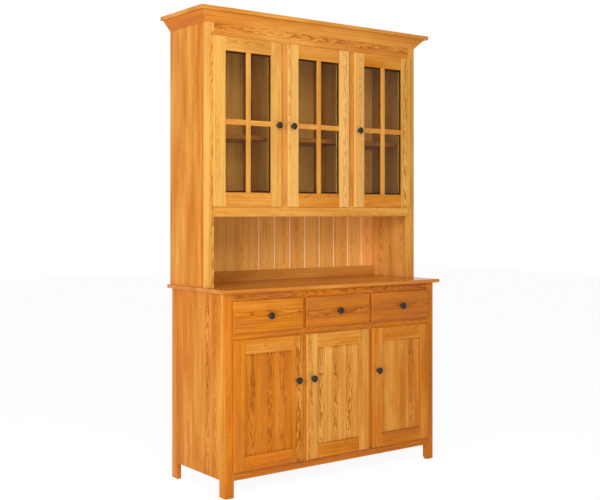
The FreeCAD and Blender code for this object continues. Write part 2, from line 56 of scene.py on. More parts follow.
# Camera, fitted to the corners and edges of the hutch as the photograph shows them. Its turn is in
# degrees to the right of the part's depth.
FRAME_WIDTH = 600
FRAME_HEIGHT = 500
FOCAL_PIXELS = 981.5
MIDDLE_PIXEL = 267.0
HORIZON_PIXEL = 213.0
CAMERA_PLACE = (-2972.9 * MM, -3795.2 * MM, 1250.0 * MM)
CAMERA_TURN = 35.59
SENSOR_WIDTH = 36

# The studio: half the side of its paper floor, how white rays from the camera see it, and how much
# the world lights the hutch. A lamp has a name, a place, an aim, a width and a height, all in
# metres, and its watts.
FLOOR_HALF = 14000 * MM
WHITE = (1.0, 1.0, 1.0, 1.0)
PAPER = "#F3F2F0"
FLOOR_WHITE = 1.1
FLOOR_WHITE_SHARE = 0.85
WORLD_LIGHT = 0.3
LAMPS = (
    ("window_left", (-4.3, -2.2, 1.6), (-0.4, 0.0, 1.0), 2.2, 2.0, 135),
    ("window_front", (-1.6, -3.6, 3.3), (-0.1, 0.0, 1.8), 1.8, 1.2, 42),
    ("low_fill", (-1.3, -3.9, 0.7), (-0.1, 0.0, 1.5), 2.4, 1.0, 25),
)

# Where boards come from: how wide the staves of a panel are, how far along the log the next stave
# is cut, how long the log is, and the range that seeds are drawn from. A plain board is one stave,
# so its staves are wider than any board.
STAVE_WIDTH = 82 * MM
BOARD_WIDTH = 4000 * MM
STAVE_JUMP = 6000 * MM
LOG_LENGTH = 40000 * MM
SEED_RANGE = 60
# The growth rings: their width, how far behind the face their pith lies and how fast it wanders,
# how far it lies to the side, and the small waves in them. The arches stand over the pith.
RING_WIDTH = 4.2 * MM
PITH_NEAR = 12 * MM
PITH_FAR = 90 * MM
PITH_BEND = 1200 * MM
PITH_ASIDE = 24 * MM
WAVE_LENGTH = 42 * MM
WAVE_WIDTH = 15 * MM
WAVE_REACH = 8 * MM
ARCH_HALF_WIDTH = 10 * MM
# Places across one growth ring, and how dark its bands are there: porous early wood comes first.
RING_SHARES = ((0.0, 0.75), (0.1, 1.0), (0.34, 0.5), (0.7, 0.12), (0.96, 0.0))
# Streaks, clouds of stain, and fibres. Pores are about 0.3 mm wide in red oak and are drawn three
# times as wide, so that they show.
STREAK_LENGTH = 650 * MM
STREAK_WIDTH = 7 * MM
CLOUD_LENGTH = 400 * MM
CLOUD_WIDTH = 70 * MM
FIBRE_LENGTH = 90 * MM
FIBRE_WIDTH = 2.2 * MM
PORE_LENGTH = 11 * MM
PORE_WIDTH = 0.9 * MM
PORE_DEPTH = 0.2 * MM
# Most of a noise lies within the first of these spans; the others pick out a part of it.
NOISE_SPAN = (0.3, 0.7)
PITH_SPAN = (0.25, 0.75)
STREAK_SPAN = (0.35, 0.72)
PORE_SPAN = (0.56, 0.68)
WORN_SPAN = (0.4, 0.75)
# How far each kind of dice throws a pattern.
PITH_DICE = 9.0
WAVE_DICE = 30.0
CLOUD_DICE = 5.0
# Shares of the dark stain: in arches where a stave shows them faintly, in bands away from the
# pith, in pores and in pores outside the bands, and in streaks.
FAINT_SHARE = 0.08
BAND_SHARE = 0.16
PORE_SHARE = 0.2
STRAY_PORE_SHARE = 0.2
STREAK_SHARE = 0.42
# How far clouds and staves shift the depth of the stain, and how they and the fibres shift its
# light and its hue.
CLOUD_SHIFT = 0.3
STAVE_SHIFT = 0.25
CLOUD_LIGHT = (1.06, 0.92)
FIBRE_LIGHT = (0.93, 1.05)
HUE_MIDDLE = 0.5
HUE_SHIFT = 0.003
# Sapwood: the tones between which it sets in, how much it hides of the stain, and its light.
HEARTWOOD_TONE = -0.3
SAPWOOD_TONE = -1.0
SAPWOOD = "#FFD694"
SAPWOOD_SHARE = 0.3
SAPWOOD_LIGHT = 1.14
# Worn edges of the boards, and painted shade on the sides of lips and frames and on the shelf's front edge.
ARRIS = 1.8 * MM
PAINTED_EDGE_SHADE = "#7A3C0E"
PAINTED_EDGE_SHADE_SHARE = 0.4
# Grooves get a painted highlight, and boards inside get painted shade: first in the niche, and then
# behind the doors, with a fade between them.
GROOVE_HIGHLIGHT = "#FFD398"
GROOVE_HIGHLIGHT_SHARES = (1.0, 0.1)
INNER_SHADE = "#4A3412"
INNER_SHADE_SHARES = (0.15, 0.36)
FADE = 30 * MM
# The beaded back, from left to right: its grooves get no painted highlight up to the first of these
# places, as they lie in shade there, and painted light makes its staves paler from the second one on.
GROOVE_HIGHLIGHT_FROM = -200 * MM
# Painted light: the back's right-hand staves are made paler where light washes over them.
PAINTED_LIGHT_FROM = 445 * MM
PAINTED_LIGHT_LIFT = 0.5
# Float glass: its colour, the shade it leaves, its cut edges, and the size of its ripples.
GLASS_CLEAR = "#F1F4EA"
GLASS_SHADE = "#8A8874"
GLASS_EDGE = "#33301C"
GLASS_RIPPLE = 60 * MM
# How deep the mottling of a metal finish is.
MOTTLE_DEPTH = 0.1 * MM
# Where the niche ends, and how close two places are the same.
NICHE_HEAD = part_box("hutch_rails")[0][2]
SAME_PLACE = 0.001 * MM
# Sockets of the Mix node that take its two colours and give the mixed one.
UNDER = 6
OVER = 7
MIXED = 2


def linear(hex_colour):
    """A colour written as sRGB hex, turned to the linear values that materials take."""
    shares = [int(hex_colour[start:start + 2], 16) / 255 for start in (1, 3, 5)]
    return tuple(c / 12.92 if c <= 0.04045 else ((c + 0.055) / 1.055) ** 2.4 for c in shares) + (1.0,)


def add(tree, kind, inputs, **settings):
    """Adds a node with its settings, and a value or a link for each input; gives its first output."""
    made = tree.nodes.new("ShaderNode" + kind)
    for name, value in settings.items():
        if name == "stops":
            while len(made.color_ramp.elements) < len(value):
                made.color_ramp.elements.new(0.5)
            for stop, (place, colour) in zip(made.color_ramp.elements, value):
                stop.position = place
                stop.color = colour
        else:
            setattr(made, name, value)
    pairs = inputs.items() if isinstance(inputs, dict) else enumerate(inputs)
    for key, value in pairs:
        if isinstance(value, bpy.types.NodeSocket):
            tree.links.new(value, made.inputs[key])
        else:
            made.inputs[key].default_value = value
    return made.outputs[0] if made.outputs else None


def start_material(name):
    """An empty material and its node tree."""
    material = bpy.data.materials.new(name)
    material.use_nodes = True
    material.node_tree.nodes.clear()
    return material, material.node_tree


def grey(level):
    """A grey for a ramp's stop."""
    return (level, level, level, 1.0)


def flat_sawn(name, light_stain, deep_stain, deepest_stain, stave_width, arches, gloss):
    """Hardwood, sawn flat from the log, stained and lacquered.

    The growth rings are cylinders round a pith that lies behind the board and wanders along
    it. Over the pith they are cut flat and give tall pointed arches, and away from it they
    draw together into straight streaks. Each stain is a pair: of the dense late wood and of
    the open, porous early wood that drinks more of it. The tone of a board mixes the stains.
    A share says how plain the arches are, and another how glossy the lacquer is.
    """
    material, tree = start_material(name)
    grain = add(tree, "Attribute", {}, attribute_name="grain").node.outputs["Vector"]
    board = add(tree, "Attribute", {}, attribute_name="board").node.outputs["Vector"]
    along, across, through = add(tree, "SeparateXYZ", [grain]).node.outputs
    tone, seed, cut = add(tree, "SeparateXYZ", [board]).node.outputs
    figured = add(tree, "Attribute", {}, attribute_name="figured").node.outputs["Fac"]

    # Staves glued edge to edge, each from another board.
    count = add(tree, "Math", [across, 1 / stave_width, 0.5], operation="MULTIPLY_ADD")
    stave = add(tree, "Math", [count], operation="FLOOR")
    offset = add(tree, "Math", [stave, stave_width], operation="MULTIPLY")
    side = add(tree, "Math", [across, offset], operation="SUBTRACT")
    key = add(tree, "CombineXYZ", [stave, seed, 0.5])
    dice = add(tree, "TexWhiteNoise", {"Vector": key}).node.outputs["Color"]
    dice_a, dice_b, dice_c = add(tree, "SeparateXYZ", [dice]).node.outputs

    # The pith: how far behind the face it lies, and how far to the side.
    shift = add(tree, "Math", [dice_a, STAVE_JUMP, along], operation="MULTIPLY_ADD")
    slow_key = add(tree, "CombineXYZ", [shift, dice_b, dice_c])
    slow_scale = (1 / PITH_BEND, PITH_DICE, PITH_DICE)
    slow_key = add(tree, "VectorMath", [slow_key, slow_scale], operation="MULTIPLY")
    slow = add(tree, "TexNoise", {"Vector": slow_key, "Scale": 1.0, "Detail": 1.5})
    depth = add(tree, "MapRange", [slow, *PITH_SPAN, PITH_NEAR, PITH_FAR])
    depth = add(tree, "Math", [depth, through], operation="ADD")
    lean = add(tree, "MapRange", [dice_c, 0.0, 1.0, -PITH_ASIDE, PITH_ASIDE])
    aside = add(tree, "Math", [side, lean], operation="SUBTRACT")
    flat = add(tree, "CombineXYZ", [aside, depth, 0.0])
    radius = add(tree, "VectorMath", [flat], operation="LENGTH").node.outputs["Value"]

    # Small waves in the rings.
    wave_key = add(tree, "CombineXYZ", [shift, side, dice_b])
    wave_scale = (1 / WAVE_LENGTH, 1 / WAVE_WIDTH, WAVE_DICE)
    wave_key = add(tree, "VectorMath", [wave_key, wave_scale], operation="MULTIPLY")
    wave = add(tree, "TexNoise", {"Vector": wave_key, "Scale": 1.0, "Detail": 2.5})
    radius = add(tree, "Math", [wave, WAVE_REACH, radius], operation="MULTIPLY_ADD")
    ring = add(tree, "Math", [radius, 1 / RING_WIDTH], operation="MULTIPLY")
    ring = add(tree, "Math", [ring, 1.0], operation="FLOORED_MODULO")
    band = add(tree, "ValToRGB", [ring], stops=[(place, grey(level)) for place, level in RING_SHARES])

    # The arches stand over the pith, plain in some staves and faint in others.
    reach = add(tree, "Math", [aside], operation="ABSOLUTE")
    over_pith = add(tree, "MapRange", [reach, ARCH_HALF_WIDTH, 3 * ARCH_HALF_WIDTH, 1.0, 0.0])
    plain = add(tree, "Math", [dice_b, figured], operation="ADD")
    plain = add(tree, "MapRange", [plain, 1.0, 1.3, FAINT_SHARE, 1.0])
    arch = add(tree, "Math", [over_pith, plain], operation="MULTIPLY")
    arch = add(tree, "Math", [arch, arches, BAND_SHARE], operation="MULTIPLY_ADD")

    # Streaks and fibres, and the open pores that lie mostly in the dark bands.
    noises = []
    for length, width, detail in (
        (STREAK_LENGTH, STREAK_WIDTH, 3.0), (FIBRE_LENGTH, FIBRE_WIDTH, 2.0), (PORE_LENGTH, PORE_WIDTH, 1.0),
    ):
        stretched = add(tree, "VectorMath", [grain, (1 / length, 1 / width, 1 / width)], operation="MULTIPLY")
        moved = add(tree, "VectorMath", [stretched, dice], operation="ADD")
        noises.append(add(tree, "TexNoise", {"Vector": moved, "Scale": 1.0, "Detail": detail}))
    streak, fibre, pore = noises
    pore = add(tree, "MapRange", [pore, *PORE_SPAN, 0.0, 1.0])
    crowd = add(tree, "Math", [band, 1 - STRAY_PORE_SHARE, STRAY_PORE_SHARE], operation="MULTIPLY_ADD")
    pore = add(tree, "Math", [pore, crowd], operation="MULTIPLY")
    streak = add(tree, "MapRange", [streak, *STREAK_SPAN, 0.0, 1.0])

    # Broad clouds of deeper stain.
    cloud_key = add(tree, "CombineXYZ", [shift, across, seed])
    cloud_scale = (1 / CLOUD_LENGTH, 1 / CLOUD_WIDTH, CLOUD_DICE)
    cloud_key = add(tree, "VectorMath", [cloud_key, cloud_scale], operation="MULTIPLY")
    cloud = add(tree, "TexNoise", {"Vector": cloud_key, "Scale": 1.0, "Detail": 2.0})
    cloud = add(tree, "MapRange", [cloud, *NOISE_SPAN, -1.0, 1.0])

    figure = add(tree, "Math", [band, arch], operation="MULTIPLY")
    figure = add(tree, "Math", [pore, PORE_SHARE, figure], operation="MULTIPLY_ADD")
    figure = add(tree, "Math", [streak, STREAK_SHARE, figure], operation="MULTIPLY_ADD", use_clamp=True)

    # The depth of the stain mixes its light and its deep colour; past the deep one comes the deepest.
    # The tone carries painted light and shade besides the stain.
    stain_and_light_depth = add(tree, "Math", [cloud, CLOUD_SHIFT, tone], operation="MULTIPLY_ADD")
    stave_tone = add(tree, "MapRange", [dice_c, 0.0, 1.0, -STAVE_SHIFT, STAVE_SHIFT])
    stain_and_light_depth = add(tree, "Math", [stain_and_light_depth, stave_tone], operation="ADD")
    excess = add(tree, "Math", [stain_and_light_depth, 1.0], operation="SUBTRACT", use_clamp=True)
    pair = []
    for light_hex, deep_hex, deepest_hex in zip(light_stain, deep_stain, deepest_stain):
        stained = add(tree, "Mix", {
            "Factor": stain_and_light_depth, UNDER: linear(light_hex), OVER: linear(deep_hex),
        }, data_type="RGBA").node.outputs[MIXED]
        pair.append(add(tree, "Mix", {
            "Factor": excess, UNDER: stained, OVER: linear(deepest_hex),
        }, data_type="RGBA").node.outputs[MIXED])
    colour = add(tree, "Mix", {
        "Factor": figure, UNDER: pair[0], OVER: pair[1],
    }, data_type="RGBA").node.outputs[MIXED]

    # Over that lie, one after another: the paler sapwood, painted shade on the edges of the lips, a
    # painted highlight in the grooves, and painted shade on the boards inside the top.
    sapwood = add(tree, "MapRange", [tone, SAPWOOD_TONE, HEARTWOOD_TONE, SAPWOOD_SHARE, 0.0])
    # Painted shade on the side faces of lips and frames and on the shelf's front edge.
    shaded_edges = add(tree, "Math", [cut, -PAINTED_EDGE_SHADE_SHARE], operation="MULTIPLY", use_clamp=True)
    height = add(tree, "SeparateXYZ", [add(tree, "TexCoord", {}).node.outputs["Object"]]).node.outputs["Z"]
    behind_doors = add(tree, "MapRange", [height, NICHE_HEAD, NICHE_HEAD + FADE, 0.0, 1.0])
    # Painted highlight on the flanks of the grooves, dimmer behind the doors.
    highlit_grooves = add(tree, "MapRange", [behind_doors, 0.0, 1.0, *GROOVE_HIGHLIGHT_SHARES])
    highlit_grooves = add(tree, "Math", [cut, highlit_grooves], operation="MULTIPLY", use_clamp=True)
    # Painted shade inside the top, lighter in the niche than behind the doors.
    inside = add(tree, "Attribute", {}, attribute_name="inside").node.outputs["Fac"]
    shade_inside = add(tree, "MapRange", [behind_doors, 0.0, 1.0, *INNER_SHADE_SHARES])
    shade_inside = add(tree, "Math", [inside, shade_inside], operation="MULTIPLY")
    for share, hex_colour in (
        (sapwood, SAPWOOD), (shaded_edges, PAINTED_EDGE_SHADE), (highlit_grooves, GROOVE_HIGHLIGHT), (shade_inside, INNER_SHADE),
    ):
        colour = add(tree, "Mix", {
            "Factor": share, UNDER: colour, OVER: linear(hex_colour),
        }, data_type="RGBA").node.outputs[MIXED]

    # Fibres and clouds shift its light, and each stave has a hue of its own.
    fibre_light = add(tree, "MapRange", [fibre, *NOISE_SPAN, *FIBRE_LIGHT])
    cloud_light = add(tree, "MapRange", [cloud, -1.0, 1.0, *CLOUD_LIGHT])
    light = add(tree, "Math", [fibre_light, cloud_light], operation="MULTIPLY")
    sapwood_light = add(tree, "MapRange", [tone, SAPWOOD_TONE, HEARTWOOD_TONE, SAPWOOD_LIGHT, 1.0])
    light = add(tree, "Math", [light, sapwood_light], operation="MULTIPLY")
    hue = add(tree, "MapRange", [dice_a, 0.0, 1.0, HUE_MIDDLE - HUE_SHIFT, HUE_MIDDLE + HUE_SHIFT])
    colour = add(tree, "HueSaturation", {"Hue": hue, "Value": light, "Color": colour})

    # Lacquer over it all: the pores telegraph through as fine dents.
    relief = add(tree, "Math", [pore, band], operation="ADD")
    corner = add(tree, "Bevel", {"Radius": ARRIS}, samples=4)
    bump = add(tree, "Bump", {"Strength": 0.2, "Distance": PORE_DEPTH, "Height": relief, "Normal": corner},
               invert=True)
    rough = add(tree, "MapRange", [figure, 0.0, 1.0, 0.34, 0.46])
    surface = add(tree, "BsdfPrincipled", {
        "Base Color": colour, "Roughness": rough, "IOR": 1.5, "Specular IOR Level": 0.1, "Normal": bump,
        "Coat Weight": gloss, "Coat Roughness": 0.12, "Coat IOR": 1.4,
    })
    add(tree, "OutputMaterial", {"Surface": surface})
    return material


def glass(name):
    """Clear float glass, dark on its cut edges; its shadow is thin, so the boards behind it are lit.

    A pane this thin hardly bends what is seen through it, so its IOR is set low.
    """
    material, tree = start_material(name)
    place = add(tree, "TexCoord", {}).node.outputs["Object"]
    speck = add(tree, "TexNoise", {"Vector": place, "Scale": 1 / GLASS_RIPPLE, "Detail": 2.0})
    rough = add(tree, "MapRange", [speck, *NOISE_SPAN, 0.0, 0.03])
    pane = add(tree, "BsdfPrincipled", {
        "Base Color": linear(GLASS_CLEAR), "Roughness": rough, "IOR": 1.16, "Transmission Weight": 1.0,
    })
    clear = add(tree, "BsdfTransparent", {"Color": linear(GLASS_SHADE)})
    shadow = add(tree, "LightPath", {}).node.outputs["Is Shadow Ray"]
    both = add(tree, "MixShader", [shadow, pane, clear])
    rim = add(tree, "BsdfPrincipled", {"Base Color": linear(GLASS_EDGE), "Roughness": 0.5})
    edge = add(tree, "Attribute", {}, attribute_name="edge").node.outputs["Fac"]
    both = add(tree, "MixShader", [edge, both, rim])
    add(tree, "OutputMaterial", {"Surface": both})
    return material


def metal(name, base, worn, metallic, rough_low, rough_high, grit):
    """A metal finish that is a little worn and uneven; grit is the size of its mottling in metres."""
    material, tree = start_material(name)
    place = add(tree, "TexCoord", {}).node.outputs["Object"]
    mottle = add(tree, "TexNoise", {"Vector": place, "Scale": 1 / grit, "Detail": 3.0})
    blend = add(tree, "MapRange", [mottle, *WORN_SPAN, 0.0, 1.0])
    colour = add(tree, "Mix", {
        "Factor": blend, UNDER: linear(base), OVER: linear(worn),
    }, data_type="RGBA").node.outputs[MIXED]
    rough = add(tree, "MapRange", [mottle, *NOISE_SPAN, rough_low, rough_high])
    bump = add(tree, "Bump", {"Strength": 0.15, "Distance": MOTTLE_DEPTH, "Height": mottle})
    surface = add(tree, "BsdfPrincipled", {
        "Base Color": colour, "Metallic": metallic, "Roughness": rough, "Normal": bump,
    })
    add(tree, "OutputMaterial", {"Surface": surface})
    return material


# Red oak, flat-sawn, stained and lacquered: tall arches and fine streaks under a soft shine. Each
# stain is given for late and for early wood: honey where it is thin, amber where it is deep, and
# rust where it is deepest. Straw is honey with less red in it.
HONEY = ("#F8BE60", "#C67826")
AMBER = ("#E38718", "#A04C0C")
RUST = ("#B86440", "#8A4018")
STRAW = ("#FFC163", "#DA8B34")
OAK_BOARD = flat_sawn("oak_board", HONEY, AMBER, RUST, BOARD_WIDTH, arches=0.75, gloss=0.05)
# The same oak in narrow staves glued edge to edge, as wide panels are made.
OAK_PANEL = flat_sawn("oak_panel", HONEY, AMBER, RUST, STAVE_WIDTH, arches=0.75, gloss=0.05)
# The beaded back: its stain is wiped thinner, so it is yellower and its figure is fainter.
OAK_BACK = flat_sawn("oak_beaded_back", STRAW, AMBER, RUST, STAVE_WIDTH, arches=0.5, gloss=0.05)
# The counter's staves have more coats, rubbed out to a gloss that mirrors what stands on them.
OAK_COUNTER = flat_sawn("oak_counter", HONEY, AMBER, RUST, STAVE_WIDTH, arches=0.5, gloss=0.5)
# Hard maple under clear matt lacquer, as drawer boxes are made: pale, dull and nearly plain.
PALE_MAPLE = ("#DDBE8C", "#C39A62")
DEEP_MAPLE = ("#D6B480", "#B98F58")
MAPLE = flat_sawn("maple_box", PALE_MAPLE, DEEP_MAPLE, DEEP_MAPLE, BOARD_WIDTH, arches=0.3, gloss=0.0)
# Float glass: clear, with faint ripples, and dark where it is cut.
GLASS = glass("float_glass")
# Cast zinc with an oil-rubbed bronze coating: nearly black, with brown where hands rub it.
BRONZE = metal(
    "oiled_bronze", "#1C1B1B", "#382C25", metallic=0.5, rough_low=0.28, rough_high=0.42, grit=9 * MM,
)
# Bright nickel plate on pressed steel: a cold shine, clouded by handling.
NICKEL = metal(
    "nickel_plate", "#B9B7B1", "#9C9993", metallic=1.0, rough_low=0.22, rough_high=0.36, grit=14 * MM,
)

SLOT_MATERIALS = {"oak": OAK_BOARD, "box_wood": MAPLE, "glass": GLASS, "bronze": BRONZE, "steel": NICKEL}
# Parts that are glued up from staves, and those whose staves stand upright though they are wider.
STAVED = (
    "base_side_left", "base_side_right", "hutch_side_left", "hutch_side_right",
    "base_partitions", "base_shelves", "hutch_decks", "hutch_shelf", "base_back", "hutch_back",
    "base_door_1_panel", "base_door_2_panel", "base_door_3_panel",
)
UPRIGHT = ("base_back", "hutch_back")
# How deep the stain is on each part, or on each of its boards in the order of boards_of: 0 is
# honey, 1 is amber, above 1 is rust, and below HEARTWOOD_TONE the wood itself is paler. The tones
# also hold painted light and shade: the base is deeper than the hutch as it stands in less light,
# its rails deeper still in the counter's shadow, and the shelf inside deeper in its shade. Parts
# that are not named have the tone that follows, and each board strays from its tone a little.
STAIN_AND_LIGHT_TONES = {
    "hutch_stiles": (-0.1, 0.4, 0.4, 0.45),
    "hutch_rails": (0.55, 0.5),
    "glass_door_1_frame": (-0.25, 0.2, 0.45, 0.1),
    "glass_door_2_frame": (-0.65, -0.85, 0.65, 0.5),
    "glass_door_3_frame": (-0.45, 0.2, 0.95, 0.7),
    "glass_door_1_bars": 0.25,
    "glass_door_2_bars": 0.35,
    "glass_door_3_bars": 0.5,
    "hutch_side_left": 0.75,
    "hutch_side_right": 0.1,
    "hutch_back": -0.15,
    "hutch_shelf": 1.0,
    "hutch_decks": 0.9,
    "crown_moulding": (1.05, 0.8, 0.4),
    "crown_cap": 0.8,
    "base_side_left": 0.9,
    "base_stiles": (1.4, 1.05, 1.05, 1.05, 1.05, 1.05),
    "base_rails": 1.25,
    "base_door_1_frame": (1.1, 0.8, 1.25, 0.9),
    "base_door_2_frame": (0.35, 0.6, 0.7, 1.0),
    "base_door_3_frame": (0.9, 0.9, 1.0, 0.6),
    "base_door_1_panel": 1.1,
    "base_door_2_panel": 0.5,
    "base_door_3_panel": 0.8,
    "drawer_1_front": 0.9,
    "drawer_2_front": 1.45,
    "drawer_3_front": 1.2,
    "counter_top": 0.95,
    "niche_rail": 0.6,
    "hutch_partitions": 0.5,
}
OTHER_TONE = 0.7
TONE_SPREAD = 0.06
# Boards that show their arches plainly, by their number in each part; 0 is also the one board of a
# part that has no more. A board's share shifts the dice that choose how plain its arches are.
FIGURED = {
    "hutch_stiles": (0, 3),
    "hutch_rails": (1,),
    "glass_door_2_frame": (0, 1),
    "glass_door_3_frame": (1,),
    "base_door_1_frame": (1,),
    "base_door_2_frame": (0, 1),
    "base_side_left": (0,),
    "base_door_1_panel": (0,),
    "base_door_2_panel": (0,),
    "base_door_3_panel": (0,),
    "drawer_1_front": (0,),
    "drawer_2_front": (0,),
    "drawer_3_front": (0,),
    "hutch_back": (0,),
    "hutch_side_right": (0,),
}
FIGURED_SHARE = 0.85
QUIET_SHARE = 0.2
# Boards that get the painted shade of the inside all over.
INNER_BOARDS = ("hutch_shelf", "hutch_decks", "hutch_partitions", "niche_rail")
# How much of a normal lies along one axis where a face looks that way, and along each of two where
# it is the flank of a groove.
FLAT = 0.97
SLANTED = 0.5


def boards_of(mesh):
    """The boards of a mesh: the lowest and highest corner and the vertices of each.

    A board ends where all its edges have met. Upright boards come first, then those that run
    front to back, then the level ones, each kind from left to right and upwards.
    """
    boards = []
    members = set()
    waiting = set()
    for face in mesh.polygons:
        members.update(face.vertices)
        corners = [tuple(round(value / SAME_PLACE) for value in mesh.vertices[i].co) for i in face.vertices]
        for edge in zip(corners, corners[1:] + corners[:1]):
            if edge[::-1] in waiting:
                waiting.remove(edge[::-1])
            else:
                waiting.add(edge)
        if not waiting:
            places = [mesh.vertices[index].co for index in members]
            low = Vector([min(place[axis] for place in places) for axis in range(3)])
            high = Vector([max(place[axis] for place in places) for axis in range(3)])
            boards.append((low, high, members))
            members = set()
    return sorted(boards, key=place_in_order)


def place_in_order(board):
    """What boards are sorted by: the way they run, then their place to the nearest millimetre."""
    low, high, _ = board
    size = high - low
    run = max(range(3), key=lambda axis: size[axis])
    return (-run, round(low.x / MM), round(low.z / MM), round(low.y / MM))


def painted_mark_of(name, vertex):
    """1 on the flanks of grooves that get a painted highlight, -1 on edges that get painted shade, 0
    elsewhere.
    """
    normal = vertex.normal
    # Painted highlight on the flanks of the back's grooves, only right of where they lie in shade.
    if name in UPRIGHT and min(abs(normal.x), abs(normal.y)) > SLANTED:
        return float(vertex.co.x > GROOVE_HIGHLIGHT_FROM)
    # Painted shade on the side faces of frames and fronts, where the gaps between parts lie in shade.
    if name.endswith(("_frame", "_front")) and max(abs(normal.x), abs(normal.z)) > FLAT:
        return -1.0
    # Painted shade on the shelf's front edge, which lies in shade.
    if name.endswith("_shelf") and normal.y < -FLAT:
        return -1.0
    return 0.0


def inside_shade_of(name, vertex):
    """1 where painted shade lies, as the inside of the top is in shade: on inner boards, on inward faces
    of the sides, and on the beads behind the panes. 0 elsewhere.
    """
    # Painted shade on the beads behind the panes, which would otherwise catch light through the glass.
    if name.endswith("_bars"):
        return float(vertex.co.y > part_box(name.replace("bars", "glass"))[1][1] - SAME_PLACE)
    inward = {"hutch_side_left": vertex.normal.x, "hutch_side_right": -vertex.normal.x}
    return float(name in INNER_BOARDS or inward.get(name, 0) > FLAT)


def lay_grain(name, piece):
    """Gives each board its own grain: along its longest side, from its own place in the log.

    The attribute called board holds the depth of its stain, with painted light and shade in it, a
    seed, and the mark for a painted highlight in grooves and painted shade on edges.
    """
    mesh = piece.data
    kinds = {"grain": "FLOAT_VECTOR", "board": "FLOAT_VECTOR", "figured": "FLOAT", "inside": "FLOAT"}
    for key, kind in kinds.items():
        mesh.attributes.new(key, kind, "POINT")
    grain, board, figured, inside = (mesh.attributes[key].data for key in kinds)
    for number, (low, high, members) in enumerate(boards_of(mesh)):
        middle = (low + high) / 2
        size = high - low
        along, across, through = sorted(range(3), key=lambda axis: -size[axis])
        if name in UPRIGHT:
            along, across = 2, 0
        tone = STAIN_AND_LIGHT_TONES.get(name, OTHER_TONE)
        if isinstance(tone, tuple):
            tone = tone[number]
        tone += chance.uniform(-TONE_SPREAD, TONE_SPREAD)
        start = chance.uniform(0, LOG_LENGTH)
        seed = chance.uniform(0, SEED_RANGE)
        share = FIGURED_SHARE if number in FIGURED.get(name, ()) else QUIET_SHARE
        for index in members:
            vertex = mesh.vertices[index]
            place = vertex.co - middle
            grain[index].vector = (place[along] + start, place[across], place[through])
            # Painted light: the back's staves on the right are made paler where light washes over them.
            painted_light_lift = PAINTED_LIGHT_LIFT * (name == "hutch_back" and vertex.co.x > PAINTED_LIGHT_FROM)
            board[index].vector = (tone - painted_light_lift, seed, painted_mark_of(name, vertex))
            figured[index].value = share
            inside[index].value = inside_shade_of(name, vertex)


def mark_edges(piece):
    """Marks the cut edges of a pane that faces front and back."""
    mesh = piece.data
    mesh.attributes.new("edge", "FLOAT", "POINT")
    edge = mesh.attributes["edge"].data
    for vertex in mesh.vertices:
        edge[vertex.index].value = float(abs(vertex.normal.y) < FLAT)


slots = {entry["node"]: entry["material_slot"] for entry in frame["record"]["subparts"]}
for name, piece in frame["nodes"].items():
    material = SLOT_MATERIALS[slots[name]]
    if name in STAVED:
        material = OAK_PANEL
    if name == "hutch_back":
        material = OAK_BACK
    if name == "counter_top":
        material = OAK_COUNTER
    piece.data.materials.clear()
    piece.data.materials.append(material)
    if slots[name] in ("oak", "box_wood"):
        lay_grain(name, piece)
    if slots[name] == "glass":
        mark_edges(piece)


body_of = {
    node: body for body, nodes in frame["record"]["behaviour"]["bodies"].items() for node in nodes
}
CARCASS = body_of["counter_top"]


def finish_piece(name, shape, material, body):
    """Puts a finished shape in the scene as a piece that rides on a body."""
    bmesh.ops.recalc_face_normals(shape, faces=shape.faces[:])
    mesh = bpy.data.meshes.new(name)
    shape.to_mesh(mesh)
    shape.free()
    mesh.materials.append(material)
    piece = bpy.data.objects.new(name, mesh)
    WORK.objects.link(piece)
    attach(piece, body)
    return piece


def turned(shape, centre, out, rings, sides):
    """Adds a turned form that stands out from a centre.

    Each ring has a radius, a height and a share by which it draws in between the arms of a
    cross; 0 leaves it round.
    """
    swing = Vector((0, 0, 1)).rotation_difference(Vector(out))
    loops = []
    for radius, height, cross in rings:
        loop = []
        for step in range(sides):
            angle = 2 * math.pi * step / sides
            between_arms = abs(math.cos(2 * angle)) < ARM_LIMIT
            reach = radius * (1 - cross * between_arms)
            spoke = Vector((math.cos(angle) * reach, math.sin(angle) * reach, height))
            loop.append(shape.verts.new(Vector(centre) + swing @ spoke))
        loops.append(loop)
    for lower, upper in zip(loops, loops[1:]):
        for step in range(sides):
            after = (step + 1) % sides
            side = shape.faces.new((lower[step], lower[after], upper[after], upper[step]))
            side.smooth = True
    shape.faces.new(loops[0][::-1])
    shape.faces.new(loops[-1])


# Outline of a mushroom knob, from the rim of its foot to the middle of its face:
# shares of the diameter outwards, and of the projection away from the door.
KNOB_RADIUS_SHARES = (
    0.25, 0.26, 0.24, 0.18, 0.15, 0.15, 0.19, 0.29, 0.41, 0.48, 0.5, 0.485, 0.43, 0.33, 0.2, 0.08,
)
KNOB_HEIGHT_SHARES = (
    0, 0.05, 0.1, 0.17, 0.27, 0.4, 0.5, 0.57, 0.63, 0.69, 0.76, 0.83, 0.9, 0.95, 0.985, 0.998,
)
KNOB_SIDES = 48
# A screw's head in shares of its diameter: radius, height, and how far the ring draws into a cross.
SCREW_SHARES = (
    (0.5, 0.0, 0.0), (0.5, 0.08, 0.0), (0.46, 0.16, 0.0), (0.37, 0.22, 0.0), (0.3, 0.24, 0.0),
    (0.28, 0.24, 0.55), (0.16, 0.08, 0.55),
)
SCREW_SIDES = 24
# Between the arms of a cross the cosine of twice the angle is nearer to zero than this.
ARM_LIMIT = 0.8
# Heads of the screws, and where they sit on hinges and slides.
HINGE_SCREW = 6 * MM
SLIDE_SCREW = 5 * MM
KNOB_SCREW = 9 * MM
PLATE_SCREW_INSET = 8 * MM
SLIDE_SCREWS = 4
SLIDE_SCREW_INSET = 30 * MM
CHANNEL_SCREW_RISE = 14 * MM
RUNNER_SCREW_RISE = 7 * MM
# An ear of a hinge cup is thinner than this, and the cup itself is thicker.
EAR_LIMIT = 2 * MM
